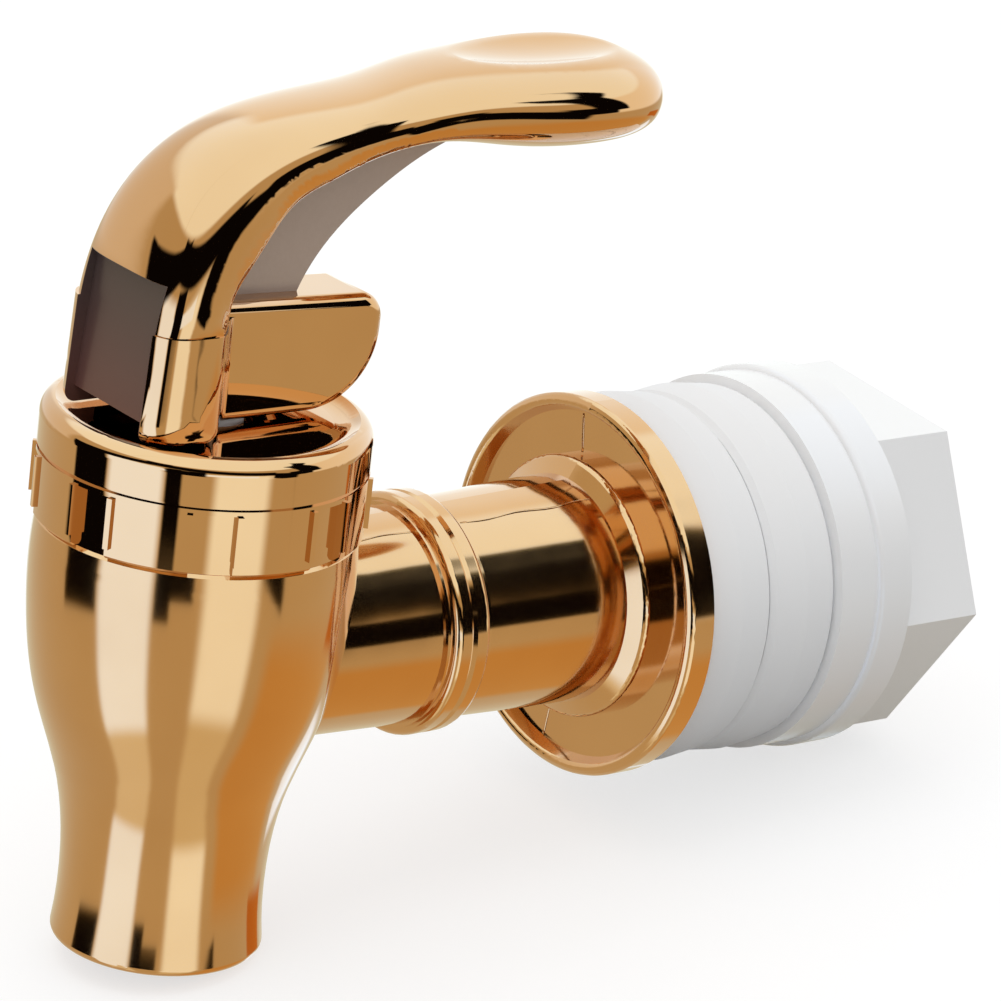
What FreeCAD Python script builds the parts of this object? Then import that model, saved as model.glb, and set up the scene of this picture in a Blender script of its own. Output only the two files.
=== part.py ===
"""Press-lever spigot for a beverage dispenser: turned spout body, lever valve, washers and nut.

The origin is the centre of the flange's back face, on the axis of the shank. +X runs along the shank, into
the vessel, and +Z is up, so the spout hangs down at negative X. Lengths are in millimetres.
"""

import FreeCAD, Part

import math
import os

from FreeCAD import Vector

# Mounting flange, boss and shank
flange_radius = 16.9
flange_thickness = 2.3
rim_crest_radius = 16.0
rim_height = 0.5
flange_edge_round = 0.45
dish_outer_radius = 15.3
dish_depth = 0.9
boss_radius = 11.6
boss_height = 2.6
boss_edge_round = 0.6
boss_face_rise = 0.9
shank_radius = 8.0
shank_free_end = 3.0
shank_end_chamfer = 0.8
bore_radius = 5.0
bore_depth = 14.0
waterway_radius = 4.4

# Pipe between the spout body and the flange
body_axis_offset = 43.0
pipe_radius_at_body = 8.75
pipe_radius_at_flange = 10.1
bead_offset_from_body = 22.3
bead_width = 3.6
bead_height = 1.0
bead_step_width = 0.5
bead_step_height = 0.3
bead_groove_depth = 0.25
bead_groove_half_width = 0.3
bead_edge_round = 0.6

# Spout body, turned about its own upright axis
foot_drop = 26.2
foot_radius = 8.95
foot_round = 0.7
waist_radius = 8.65
waist_height = 6.6
belly_radius = 13.55
seam_height = 11.2
seam_lip_radius = 13.35
seam_lip_chamfer = 0.3
outlet_radius = 7.3
outlet_depth = 13.5
outlet_cone_height = 4.0
seat_hole_radius = 4.6
seat_ring_radius = 6.0
seat_ring_height = 1.0
seat_ring_slope = 0.6
chamber_radius = 9.0
chamber_floor_drop = 7.6
neck_radius = 12.0
neck_height = 5.3

# Bonnet cap
cap_radius = 13.7
cap_crest_radius = 12.5
cap_crest_height = 21.0
cap_edge_round = 1.4
cap_foot_chamfer = 0.25
cap_groove_height = 17.1
cap_groove_depth = 0.25
cap_groove_width = 0.3
cap_floor_height = 20.3
cap_floor_radius = 10.4
cap_hole_radius = 3.2
cap_wall_clearance = 0.1
grip_count = 8
grip_recess_angle = 15.0
grip_first_angle = 195.0
grip_recess_depth = 0.6
grip_top_gap = 0.4
grip_rib_angle = 2.0
grip_rib_height = 0.3
grip_foot_gap = 0.9

# Valve inside the bonnet
gasket_thickness = 0.8
gasket_inner_radius = 9.6
guide_flange_thickness = 1.1
guide_hub_radius = 5.8
guide_hub_depth = 7.4
gland_depth = 1.9
seal_wire_radius = 0.95
stem_radius = 2.4
stem_clearance = 0.05
stem_shoulder_gap = 0.1
tang_half_width = 2.0
tang_half_length = 2.2
plug_radius = 6.4
plug_height = 4.4
plug_nose_radius = 3.9
plug_nose_depth = 1.3
plug_chamfer = 0.8
plug_foot_chamfer = 0.6
plug_nose_taper = 1.0
plug_nose_straight = 0.2
barb_radius = 2.2
barb_neck_radius = 1.5
barb_neck_length = 1.0
barb_length = 2.0
barb_taper = 0.9
barb_straight = 0.5
thrust_thickness = 1.0
thrust_radius = 6.0
spring_wire_radius = 0.45
spring_mean_radius = 4.5
spring_turns = 5.0
spring_end_gap = 0.02

# Lever pivot and cam
trunnion_radius = 1.4
trunnion_clearance = 0.06
trunnion_reach = 2.75
trunnion_end_gap = 0.15
tang_side_clearance = 0.12
tang_head_clearance = 0.3
cam_rest_gap = 0.35
cam_round_offset = 7.7
cam_round_radius = 6.7
fin_half_width = 3.5
fin_front = -6.0
fin_top_rise = 3.55
fin_top_slope = 2.4
fin_corner_round = 2.2
fin_edge_round = 1.0
press_angle = 28.0
press_margin = 1.5

# Lever base: two cheeks either side of a recessed front panel
cheek_half_width = 7.5
cheek_front = -10.2
cheek_widest = -5.2
cheek_squareness = 4.2
cheek_lean = 0.5
cheek_bottom_round = 1.05
cheek_back_drop = 1.0
blend_length = 4.6
blend_overlap = 0.02
parting_rise = 2.45
parting_step = 0.22
panel_half_width = 5.4
panel_depth = 1.3
panel_top_rise = 6.35
panel_foot_rise = -5.3
panel_rake = 5.5
panel_wall = 1.7
panel_pocket_step = 1.0
tang_pocket_wall = 2.0

# Lever arm
arm_wall = 1.6
web_half_width = 1.3
web_foot_offset = 6.4
hollow_overrun = 4.0
grip_half_width = 8.4
grip_half_depth = 4.1
grip_round_centre = 33.2
thumb_radius = 14.0
thumb_length = 27.0
thumb_depth = 1.1
thumb_offset = 29.0
arm_rise = 22.25
grip_middle_drop = 4.0

# Washers and nut
washer_radius = 16.4
washer_thickness = 7.2
washer_bore_clearance = 0.1
washer_crown = 0.35
washer_edge_round = 0.5
stack_gap = 0.1
nut_skirt_radius = 16.8
nut_skirt_length = 4.0
nut_collar_radius = 17.3
nut_collar_length = 3.6
nut_hex_flat_radius = 14.3
nut_hex_length = 9.0
nut_hex_turn = 4.5
nut_edge_round = 0.6
nut_bore_clearance = 0.1

X_AXIS = Vector(1, 0, 0)
Y_AXIS = Vector(0, 1, 0)
Z_AXIS = Vector(0, 0, 1)
SECTION_STEPS = 16
OVERRUN = 1.0
body_x = -body_axis_offset
body_centre = Vector(body_x, 0, 0)

# Places along the vase between waist and lip: how far up, and how far out from waist to belly
VASE_SHAPE = ((0.26, 0.22), (0.49, 0.70), (0.73, 0.96), (0.885, 1.0))

# Sections of the arm and of the grip's root. Each row has shares of the reach and rise of the arm, the lean
# in degrees, shares of the grip's half-width and half-depth (above and below), and how square both halves are.
ARM_SHAPE = (
    (-0.292, 0.276, 13, 0.887, 1.171, 0.341, 3.6, 6),
    (-0.262, 0.447, 23, 0.857, 1.195, 0.585, 3, 6),
    (-0.199, 0.613, 32, 0.821, 1.22, 0.683, 2.6, 6),
    (-0.078, 0.762, 43, 0.774, 1.073, 0.634, 2.3, 6),
    (0.078, 0.843, 54, 0.738, 0.902, 0.61, 2.2, 6),
    (0.229, 0.879, 65, 0.714, 0.756, 0.488, 2.2, 5),
    (0.392, 0.91, 78, 0.714, 0.707, 0.415, 2.2, 4),
)
GRIP_SHAPE = (
    (0.572, 0.96, 86, 0.821, 0.756, 0.683, 2.2, 2.6),
    (0.783, 0.996, 90, 0.952, 0.951, 0.951, 2.1, 2.1),
)
GRIP_END_POWER = 0.8

# The web's free edge and its buried edge, as shares of the arm's reach and rise
WEB_FREE_EDGE = ((0.283, 0.335), (0.419, 0.51), (0.542, 0.622), (0.663, 0.694))
WEB_ROOT_EDGE = (
    (0.633, 0.838), (0.392, 0.847), (0.229, 0.811), (0.078, 0.775),
    (-0.078, 0.685), (-0.163, 0.569), (-0.223, 0.389), (-0.241, 0.074),
)

# Heights that several pieces share
seat_height = -chamber_floor_drop + seat_ring_height
neck_top = seam_height + neck_height
gasket_top = neck_top + gasket_thickness
guide_top = gasket_top + guide_flange_thickness
guide_bottom = guide_top - guide_hub_depth
plug_top = seat_height + plug_height
thrust_top = plug_top + thrust_thickness
cam_bottom = cap_floor_height + cam_rest_gap
pivot_height = cam_bottom + cam_round_radius
fin_top_height = pivot_height + fin_top_rise
parting_height = pivot_height + parting_rise
panel_top_height = pivot_height + panel_top_rise
panel_foot_height = pivot_height + panel_foot_rise
grip_crown_height = pivot_height + arm_rise
stem_shoulder_height = guide_top + stem_shoulder_gap


def turned_about_z(points, centre):
    """A solid of revolution about an upright axis, from (radius, height) corners."""
    wire = Part.makePolygon([Vector(centre.x + r, 0, z) for r, z in points + points[:1]])
    return Part.Face(wire).revolve(Vector(centre.x, 0, 0), Z_AXIS, 360)


def turned_about_x(points):
    """A solid of revolution about the shank axis, from (x, radius) corners."""
    wire = Part.makePolygon([Vector(x, 0, r) for x, r in points + points[:1]])
    return Part.Face(wire).revolve(Vector(0, 0, 0), X_AXIS, 360)


def curve_through(points):
    """A smooth edge through the given points."""
    curve = Part.BSplineCurve()
    curve.interpolate(points)
    return curve.toShape()


def lines_through(points):
    """Straight edges through the given points, in order."""
    return [Part.LineSegment(a, b).toShape() for a, b in zip(points, points[1:])]


def cylinder_z(radius, low, high, centre=body_centre):
    """An upright cylinder between two heights."""
    return Part.makeCylinder(radius, high - low, Vector(centre.x, centre.y, low), Z_AXIS)


def cylinder_x(radius, low, high):
    """A cylinder on the shank axis between two places along X."""
    return Part.makeCylinder(radius, high - low, Vector(low, 0, 0), X_AXIS)


def cylinder_y(radius, reach):
    """A cylinder across the lever on its pivot axis, as far to one side as to the other."""
    return Part.makeCylinder(radius, 2 * reach, Vector(body_x, -reach, pivot_height), Y_AXIS)


def round_edges(shape, radius, wanted):
    """The shape with the edges that the test picks rounded off."""
    edges = [edge for edge in shape.Edges if wanted(edge)]
    return shape.makeFillet(radius, edges)


def is_circle_at(edge, axis, place, radius):
    """Whether an edge is a full circle of this radius at this place along X or Z."""
    curve = edge.Curve
    if not isinstance(curve, Part.Circle):
        return False
    at = curve.Center.x if axis == "x" else curve.Center.z
    return abs(at - place) < 1e-4 and abs(curve.Radius - radius) < 1e-4


def vase_solid():
    """The outside of the spout: a foot, a waist and a belly up to the seam under the cap."""
    foot = -foot_drop
    waist = foot + waist_height
    swell = belly_radius - waist_radius
    lip = seam_height - seam_lip_chamfer
    points = [Vector(body_x + foot_radius, 0, foot + foot_round), Vector(body_x + waist_radius, 0, waist)]
    for up, out in VASE_SHAPE:
        points.append(Vector(body_x + waist_radius + out * swell, 0, waist + up * (lip - waist)))
    points.append(Vector(body_x + seam_lip_radius, 0, lip))
    profile = curve_through(points)
    tuck = foot_round * (1 - math.sqrt(0.5))
    foot_start = Vector(body_x + foot_radius - foot_round, 0, foot)
    foot_middle = Vector(body_x + foot_radius - tuck, 0, foot + tuck)
    foot_arc = Part.Arc(foot_start, foot_middle, points[0]).toShape()
    closing = lines_through([
        points[-1], Vector(body_x + seam_lip_radius - seam_lip_chamfer, 0, seam_height),
        Vector(body_x, 0, seam_height), Vector(body_x, 0, foot), foot_start,
    ])
    wire = Part.Wire(Part.__sortEdges__([foot_arc, profile] + closing))
    return Part.Face(wire).revolve(body_centre, Z_AXIS, 360)


def pipe_profile():
    """Corners of the pipe, bead, boss and flange in (x, radius), from the body axis to the seat face."""
    bead_middle = body_x + bead_offset_from_body
    slope = (pipe_radius_at_flange - pipe_radius_at_body) / (body_axis_offset - flange_thickness)
    half = bead_width / 2
    boss_front = -flange_thickness + dish_depth - boss_height

    def pipe_radius(x):
        return pipe_radius_at_body + slope * (x - body_x)

    bead_base = pipe_radius(bead_middle)
    crest = bead_base + bead_height
    return [
        (body_x, 0.0),
        (body_x, pipe_radius_at_body),
        (bead_middle - half - bead_step_width, pipe_radius(bead_middle - half)),
        (bead_middle - half - bead_step_width, bead_base + bead_step_height),
        (bead_middle - half, bead_base + bead_step_height),
        (bead_middle - half, crest),
        (bead_middle - bead_groove_half_width, crest),
        (bead_middle, crest - bead_groove_depth),
        (bead_middle + bead_groove_half_width, crest),
        (bead_middle + half, crest),
        (bead_middle + half, bead_base + bead_step_height),
        (bead_middle + half + bead_step_width, bead_base + bead_step_height),
        (bead_middle + half + bead_step_width, pipe_radius(bead_middle + half)),
        (boss_front, pipe_radius(boss_front)),
        (boss_front + boss_face_rise, boss_radius),
        (-flange_thickness + dish_depth, boss_radius),
        (-flange_thickness + dish_depth, dish_outer_radius),
        (-flange_thickness - rim_height, rim_crest_radius),
        (-flange_thickness, flange_radius),
        (0.0, flange_radius),
        (0.0, 0.0),
    ]


def faucet_body():
    """The one-piece moulding: spout, pipe, flange and shank, with the waterway through it."""
    bead_middle = body_x + bead_offset_from_body
    half = bead_width / 2
    pipe = turned_about_x(pipe_profile())
    slope = (pipe_radius_at_flange - pipe_radius_at_body) / (body_axis_offset - flange_thickness)
    crest = pipe_radius_at_body + slope * bead_offset_from_body + bead_height
    for side in (-1, 1):
        rim = bead_middle + side * half
        pipe = round_edges(pipe, bead_edge_round, lambda e: is_circle_at(e, "x", rim, crest))
    pipe = round_edges(
        pipe, boss_edge_round,
        lambda e: is_circle_at(e, "x", -flange_thickness + dish_depth - boss_height + boss_face_rise, boss_radius),
    )
    pipe = round_edges(
        pipe, flange_edge_round,
        lambda e: is_circle_at(e, "x", -flange_thickness - rim_height, rim_crest_radius)
        or is_circle_at(e, "x", -flange_thickness, flange_radius),
    )
    neck = cylinder_z(neck_radius, seam_height - OVERRUN, neck_top)
    outside = vase_solid().fuse([pipe, neck, shank()]).removeSplitter()
    foot = -foot_drop
    outlet_top = foot + outlet_depth
    outlet = turned_about_z([
        (0, foot - OVERRUN), (outlet_radius, foot - OVERRUN), (outlet_radius, outlet_top),
        (seat_hole_radius, outlet_top + outlet_cone_height), (seat_hole_radius, seat_height + OVERRUN),
        (0, seat_height + OVERRUN),
    ], body_centre)
    chamber = turned_about_z([
        (0, seat_height), (seat_ring_radius - seat_ring_slope, seat_height),
        (seat_ring_radius, -chamber_floor_drop), (chamber_radius, -chamber_floor_drop),
        (chamber_radius, neck_top + OVERRUN), (0, neck_top + OVERRUN),
    ], body_centre)
    waterway = cylinder_x(waterway_radius, body_x, shank_end())
    bore = cylinder_x(bore_radius, shank_end() - bore_depth, shank_end() + OVERRUN)
    return outside.cut([outlet, chamber, waterway, bore])


def shank_end():
    """The place along X where the threaded shank ends."""
    return nut_end() + shank_free_end


def nut_end():
    """The place along X where the nut's outer face lies."""
    return nut_start() + nut_skirt_length + nut_collar_length + nut_hex_length


def nut_start():
    """The place along X where the nut meets the inner washer."""
    return 2 * washer_thickness + 2 * stack_gap


def shank():
    """The shank, with its free end chamfered for the nut to start on."""
    rod = cylinder_x(shank_radius, -OVERRUN, shank_end())
    edges = [edge for edge in rod.Edges if is_circle_at(edge, "x", shank_end(), shank_radius)]
    return rod.makeChamfer(shank_end_chamfer, edges)


def bonnet_cap():
    """The screwed cap: a dished top with a bearing land, a groove, and a skirt with finger grips."""
    inner_radius = neck_radius + cap_wall_clearance
    groove_low = cap_groove_height - cap_groove_width
    outline = turned_about_z([
        (0, seam_height), (cap_radius - cap_foot_chamfer, seam_height),
        (cap_radius, seam_height + cap_foot_chamfer), (cap_radius, groove_low),
        (cap_radius - cap_groove_depth, groove_low), (cap_radius - cap_groove_depth, cap_groove_height),
        (cap_radius, cap_groove_height), (cap_radius, cap_crest_height), (0, cap_crest_height),
    ], body_centre)
    outline = round_edges(
        outline, cap_edge_round,
        lambda e: is_circle_at(e, "z", cap_crest_height, cap_radius),
    )
    dish = cap_dish()
    inside = turned_about_z([
        (0, seam_height - OVERRUN), (inner_radius, seam_height - OVERRUN), (inner_radius, guide_top),
        (0, guide_top),
    ], body_centre)
    hole = cylinder_z(cap_hole_radius, guide_top - OVERRUN, cap_crest_height + OVERRUN)
    cap = outline.cut([dish, inside, hole])
    cap = cap.cut([grip_recess(i) for i in range(grip_count)])
    ribs = [grip_rib(i, side) for i in range(grip_count) for side in (-1, 1)]
    return cap.fuse(ribs).removeSplitter()


def cap_dish():
    """The shallow dish in the cap's top: a flat floor for the cam, swept up to the crest."""
    rise = cap_crest_height - cap_floor_height
    run = cap_crest_radius - cap_floor_radius
    sweep_radius = (run * run + rise * rise) / (2 * rise)
    low = Vector(body_x + cap_floor_radius, 0, cap_floor_height)
    high = Vector(body_x + cap_crest_radius, 0, cap_crest_height)
    half_turn = math.asin(run / sweep_radius) / 2
    middle = low + Vector(sweep_radius * math.sin(half_turn), 0, sweep_radius * (1 - math.cos(half_turn)))
    sweep = Part.Arc(low, middle, high).toShape()
    over = Vector(high.x, 0, high.z + OVERRUN)
    edges = [sweep] + lines_through([high, over, Vector(body_x, 0, over.z), Vector(body_x, 0, low.z), low])
    return Part.Face(Part.Wire(edges)).revolve(body_centre, Z_AXIS, 360)


def sector(inner, outer, low, high, start_angle, sweep):
    """A block of a ring between two radii, two heights and two angles."""
    face = Part.Face(Part.makePolygon([
        Vector(body_x + inner, 0, low), Vector(body_x + outer, 0, low),
        Vector(body_x + outer, 0, high), Vector(body_x + inner, 0, high), Vector(body_x + inner, 0, low),
    ]))
    face.rotate(body_centre, Z_AXIS, start_angle)
    return face.revolve(body_centre, Z_AXIS, sweep)


def grip_recess(index):
    """One of the narrow recessed panels between the wide grip panels."""
    middle = grip_first_angle + index * 360.0 / grip_count
    top = cap_groove_height - cap_groove_width - grip_top_gap
    return sector(
        cap_radius - grip_recess_depth, cap_radius + OVERRUN, seam_height - OVERRUN, top,
        middle - grip_recess_angle / 2, grip_recess_angle,
    )


def grip_rib(index, side):
    """The raised rib along one edge of a recessed panel."""
    middle = grip_first_angle + index * 360.0 / grip_count
    start = middle + side * grip_recess_angle / 2
    if side < 0:
        start -= grip_rib_angle
    return sector(
        cap_radius - grip_recess_depth, cap_radius + grip_rib_height, seam_height + grip_foot_gap,
        cap_groove_height - cap_groove_width - grip_top_gap, start, grip_rib_angle,
    )


def bonnet_gasket():
    """The flat ring between the neck of the body and the guide."""
    ring = cylinder_z(neck_radius, neck_top, gasket_top)
    return ring.cut(cylinder_z(gasket_inner_radius, neck_top - OVERRUN, gasket_top + OVERRUN))


def stem_guide():
    """The bush that guides the stem, with a flange held by the cap and a gland for the stem seal."""
    flange = cylinder_z(neck_radius, gasket_top, guide_top)
    hub = cylinder_z(guide_hub_radius, guide_bottom, guide_top)
    guide = flange.fuse(hub).removeSplitter()
    bore = cylinder_z(stem_radius + stem_clearance, guide_bottom - OVERRUN, guide_top + OVERRUN)
    gland_radius = stem_radius + stem_clearance + 2 * seal_wire_radius
    gland = cylinder_z(gland_radius, guide_top - gland_depth, guide_top + OVERRUN)
    return guide.cut([bore, gland])


def stem_seal():
    """The ring that seals the stem in the guide's gland."""
    mean_radius = stem_radius + stem_clearance + seal_wire_radius
    height = guide_top - gland_depth + seal_wire_radius
    return Part.makeTorus(mean_radius, seal_wire_radius, Vector(body_x, 0, height), Z_AXIS)


def plunger_stem():
    """The valve stem: a barb for the plug, a round shank, and a flat tang with trunnions for the lever."""
    barb_low = plug_top - barb_neck_length - barb_length
    shaft = turned_about_z([
        (0, barb_low), (barb_radius - barb_taper, barb_low),
        (barb_radius, barb_low + barb_length - barb_straight),
        (barb_radius, barb_low + barb_length), (barb_neck_radius, barb_low + barb_length),
        (barb_neck_radius, plug_top), (stem_radius, plug_top), (stem_radius, stem_shoulder_height),
        (0, stem_shoulder_height),
    ], body_centre)
    tang = Part.makeBox(
        2 * tang_half_length, 2 * tang_half_width, pivot_height - stem_shoulder_height,
        Vector(body_x - tang_half_length, -tang_half_width, stem_shoulder_height),
    )
    head = cylinder_y(tang_half_length, tang_half_width)
    trunnions = cylinder_y(trunnion_radius, trunnion_reach)
    return shaft.fuse([tang, head, trunnions]).removeSplitter()


def seat_plug():
    """The soft plug that closes the seat, moulded over the stem's barb."""
    plug = turned_about_z([
        (0, seat_height - plug_nose_depth),
        (plug_nose_radius - plug_nose_taper, seat_height - plug_nose_depth),
        (plug_nose_radius, seat_height - plug_nose_straight), (plug_nose_radius, seat_height),
        (plug_radius - plug_foot_chamfer, seat_height),
        (plug_radius, seat_height + plug_chamfer), (plug_radius, plug_top - plug_chamfer),
        (plug_radius - plug_chamfer, plug_top), (0, plug_top),
    ], body_centre)
    return plug.cut(plunger_stem())


def thrust_washer():
    """The washer that spreads the spring's load on the plug."""
    washer = cylinder_z(thrust_radius, plug_top, thrust_top)
    return washer.cut(cylinder_z(stem_radius, plug_top - OVERRUN, thrust_top + OVERRUN))


def return_spring():
    """The compression spring between the thrust washer and the guide."""
    low = thrust_top + spring_wire_radius + spring_end_gap
    high = guide_bottom - spring_wire_radius - spring_end_gap
    helix = Part.makeHelix((high - low) / spring_turns, high - low, spring_mean_radius)
    helix.translate(Vector(body_x, 0, low))
    start = Vector(body_x + spring_mean_radius, 0, low)
    section = Part.Wire(Part.Circle(start, Y_AXIS, spring_wire_radius).toShape())
    return Part.Wire(helix.Edges).makePipeShell([section], True, True)


def superellipse(power):
    """Points of half a superellipse, as shares of its half-width across and of its depth."""
    points = [(-1.0, 0.0)]
    for i in range(1, SECTION_STEPS):
        turn = math.pi * i / SECTION_STEPS
        across = -math.cos(turn)
        along = math.sin(turn)
        reach = (abs(across) ** power + along ** power) ** (-1 / power)
        points.append((across * reach, along * reach))
    points.append((1.0, 0.0))
    return points


class Station:
    """One cross-section of the lever's arm, hung from a point of its crown line.

    The section lies across the arm. Its depth runs from the crown down into the arm, at an angle below +X.
    The upper and lower halves are superellipses that meet at the widest line.
    """

    def __init__(self, x, height, angle, half_width, rise, drop, upper_power, lower_power):
        self.crown = Vector(body_x + x, 0, pivot_height + height)
        self.down = Vector(math.cos(math.radians(angle)), 0, -math.sin(math.radians(angle)))
        self.half_width = half_width
        self.rise = rise
        self.drop = drop
        self.upper_power = upper_power
        self.lower_power = lower_power

    def arc(self, inset, depth, power, sign, centre):
        """Half of the contour, from one side to the other, as a smooth edge."""
        width = self.half_width - inset
        points = []
        for across, along in superellipse(power):
            points.append(centre + Y_AXIS * (across * width) - self.down * (sign * along * depth))
        return curve_through(points)

    def wire(self):
        """The outer contour."""
        centre = self.crown + self.down * self.rise
        upper = self.arc(0.0, self.rise, self.upper_power, 1, centre)
        lower = self.arc(0.0, self.drop, self.lower_power, -1, centre)
        return Part.Wire([upper, lower])

    def hollow_wire(self, wall, overrun):
        """The contour of the hollow: inside the wall under the crown, and past the underside."""
        centre = self.crown + self.down * self.rise
        upper = self.arc(wall, self.rise - wall, self.upper_power, 1, centre)
        width = self.half_width - wall
        low = centre + self.down * (self.drop + overrun)
        right = centre + Y_AXIS * width
        left = centre - Y_AXIS * width
        sides = lines_through([right, low + Y_AXIS * width, low - Y_AXIS * width, left])
        return Part.Wire([upper] + sides)


def arm_stations():
    """The sections of the arch and the arm, from the parting line up to where the grip begins."""
    first = Station(
        cheek_front, parting_rise, 0, cheek_half_width, cheek_widest - cheek_front, cheek_back_drop,
        cheek_squareness, 6.0,
    )
    return [first] + [station_from(shares) for shares in ARM_SHAPE]


def station_from(shares):
    """One section from its shares of the arm's reach and rise and of the grip's width and depth."""
    x, height, angle, width, rise, drop, upper_power, lower_power = shares
    return Station(
        x * grip_round_centre, height * arm_rise, angle, width * grip_half_width,
        rise * grip_half_depth, drop * grip_half_depth, upper_power, lower_power,
    )


def grip_stations():
    """The sections of the grip, which ends in a half round of its own width."""
    tip = []
    for angle in (0, 30, 50, 66, 78, 86):
        share = math.cos(math.radians(angle))
        x = grip_round_centre + grip_half_width * math.sin(math.radians(angle))
        depth = grip_half_depth * share ** GRIP_END_POWER
        height = arm_rise - grip_middle_drop + depth
        tip.append(Station(x, height, 90, grip_half_width * share, depth, depth, 2.1, 2.1))
    return [station_from(shares) for shares in GRIP_SHAPE] + tip


def arm_shell():
    """The arch, arm and grip as one smooth form, hollow from below as far as the grip."""
    arm = arm_stations()
    outer = Part.makeLoft([s.wire() for s in arm + grip_stations()], True, False)
    inner = Part.makeLoft([s.hollow_wire(arm_wall, hollow_overrun) for s in arm[1:]], True, False)
    return outer.cut([inner, thumb_dimple()])


def thumb_dimple():
    """The long shallow dimple for the thumb: an ellipsoid sunk into the top of the grip."""
    centre = Vector(body_x + thumb_offset, 0, grip_crown_height - thumb_depth + thumb_radius)
    rim = Part.Ellipse(centre + X_AXIS * thumb_length, centre + Z_AXIS * thumb_radius, centre)
    half = Part.ArcOfEllipse(rim, 0, math.pi).toShape()
    ends = lines_through([half.Vertexes[-1].Point, half.Vertexes[0].Point])
    return Part.Face(Part.Wire([half] + ends)).revolve(centre, X_AXIS, 360)


def arm_web():
    """The rib that stands on the fin and runs up under the arm."""
    def place(share):
        return Vector(body_x + share[0] * grip_round_centre, 0, pivot_height + share[1] * arm_rise)

    start = Vector(body_x + web_foot_offset, 0, fin_top_height - OVERRUN)
    points = [start] + [place(share) for share in WEB_FREE_EDGE]
    corners = [points[-1]] + [place(share) for share in WEB_ROOT_EDGE] + [start]
    face = Part.Face(Part.Wire([curve_through(points)] + lines_through(corners)))
    face.translate(Vector(0, -web_half_width, 0))
    return face.extrude(Vector(0, 2 * web_half_width, 0))


def fin():
    """The cam heel: a plate on edge, flat below, with a round end that rolls on the cap."""
    slope = math.tan(math.radians(fin_top_slope))
    centre = Vector(body_x + cam_round_offset, 0, pivot_height)
    rim = cam_round_offset + cam_round_radius
    top_end = Vector(body_x + rim, 0, fin_top_height - slope * rim)
    bottom = Vector(centre.x, 0, cam_bottom)
    quarter = Part.Arc(bottom, Vector(
        centre.x + cam_round_radius * math.sqrt(0.5), 0, centre.z - cam_round_radius * math.sqrt(0.5),
    ), Vector(centre.x + cam_round_radius, 0, centre.z)).toShape()
    front_low = Vector(body_x + fin_front, 0, cam_bottom)
    front_high = Vector(body_x + fin_front, 0, fin_top_height - slope * fin_front)
    end = Vector(centre.x + cam_round_radius, 0, centre.z)
    edges = [quarter] + lines_through([end, top_end, front_high, front_low, bottom])
    face = Part.Face(Part.Wire(edges))
    face.translate(Vector(0, -fin_half_width, 0))
    plate = face.extrude(Vector(0, 2 * fin_half_width, 0))
    corner = [e for e in plate.Edges if is_across(e, top_end)]
    plate = plate.makeFillet(fin_corner_round, corner)
    return round_edges(plate, fin_edge_round, lambda e: is_on_side(e, fin_half_width))


def is_across(edge, place):
    """Whether an edge runs across the lever through this place in the side view."""
    ends = [v.Point for v in edge.Vertexes]
    return len(ends) == 2 and all(abs(p.x - place.x) < 1e-4 and abs(p.z - place.z) < 1e-4 for p in ends)


def is_level_at(edge, height):
    """Whether both ends of an edge lie at this height."""
    return all(abs(v.Point.z - height) < 1e-4 for v in edge.Vertexes)


def is_on_side(edge, half_width):
    """Whether an edge lies wholly in one of the two side faces of a plate."""
    ends = [v.Point for v in edge.Vertexes]
    near = all(abs(p.y + half_width) < 1e-4 for p in ends)
    far = all(abs(p.y - half_width) < 1e-4 for p in ends)
    return near or far


def cheek_outline(height, step):
    """The plan of the lever's base: a squared front, and sides that sweep in to the fin."""
    lean = cheek_lean * (parting_height - height) / (parting_height - cam_bottom)
    centre = Vector(body_x + cheek_widest, 0, height)
    width = cheek_half_width + step
    depth = cheek_widest - cheek_front + step + lean
    front = []
    for across, along in superellipse(cheek_squareness):
        front.append(centre + Y_AXIS * (across * width) - X_AXIS * (along * depth))
    back = centre + X_AXIS * blend_length
    fin_side = fin_half_width - blend_overlap

    def sweep(side):
        points = []
        for i in range(SECTION_STEPS // 2 + 1):
            share = 2 * i / SECTION_STEPS
            reach = fin_side + (width - fin_side) * (0.5 + 0.5 * math.cos(math.pi * share))
            points.append(centre + X_AXIS * (blend_length * share) + Y_AXIS * (side * reach))
        return points

    near = sweep(1)
    far = sweep(-1)
    edges = [curve_through(front), curve_through(near)]
    edges += lines_through([near[-1], far[-1]])
    edges.append(curve_through(far[::-1]))
    return Part.Wire(edges)


def lever_base():
    """The two cheeks and the panel between them, below the parting line."""
    wires = [cheek_outline(height, parting_step) for height in (cam_bottom, parting_height)]
    block = Part.makeLoft(wires, True, True)
    back = body_x + cheek_widest + blend_length - OVERRUN
    return round_edges(
        block, cheek_bottom_round,
        lambda e: is_level_at(e, cam_bottom) and e.CenterOfMass.x < back,
    )


def panel_cut():
    """What is cut from the front to sink the panel between the cheeks, and from below it."""
    rake = math.tan(math.radians(panel_rake))

    def panel_x(height):
        return cheek_front + panel_depth + rake * (height - parting_height)

    front = 2 * cheek_front
    foot = cam_bottom - OVERRUN
    back = pocket_front() - tang_pocket_wall
    outline = [
        (front, foot), (panel_x(foot), foot), (panel_x(panel_top_height), panel_top_height),
        (front, panel_top_height),
    ]
    sink = side_prism(outline, panel_half_width)
    low = [(front, foot), (back, foot), (back, panel_foot_height), (front, panel_foot_height)]
    below = side_prism(low, panel_half_width)
    high = [
        (panel_x(panel_foot_height) + panel_wall, panel_foot_height - OVERRUN),
        (back, panel_foot_height - OVERRUN), (back, parting_height - OVERRUN),
        (panel_x(parting_height) + panel_wall, parting_height - OVERRUN),
    ]
    behind = side_prism(high, panel_half_width - panel_pocket_step)
    return [sink, below, behind]


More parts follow.
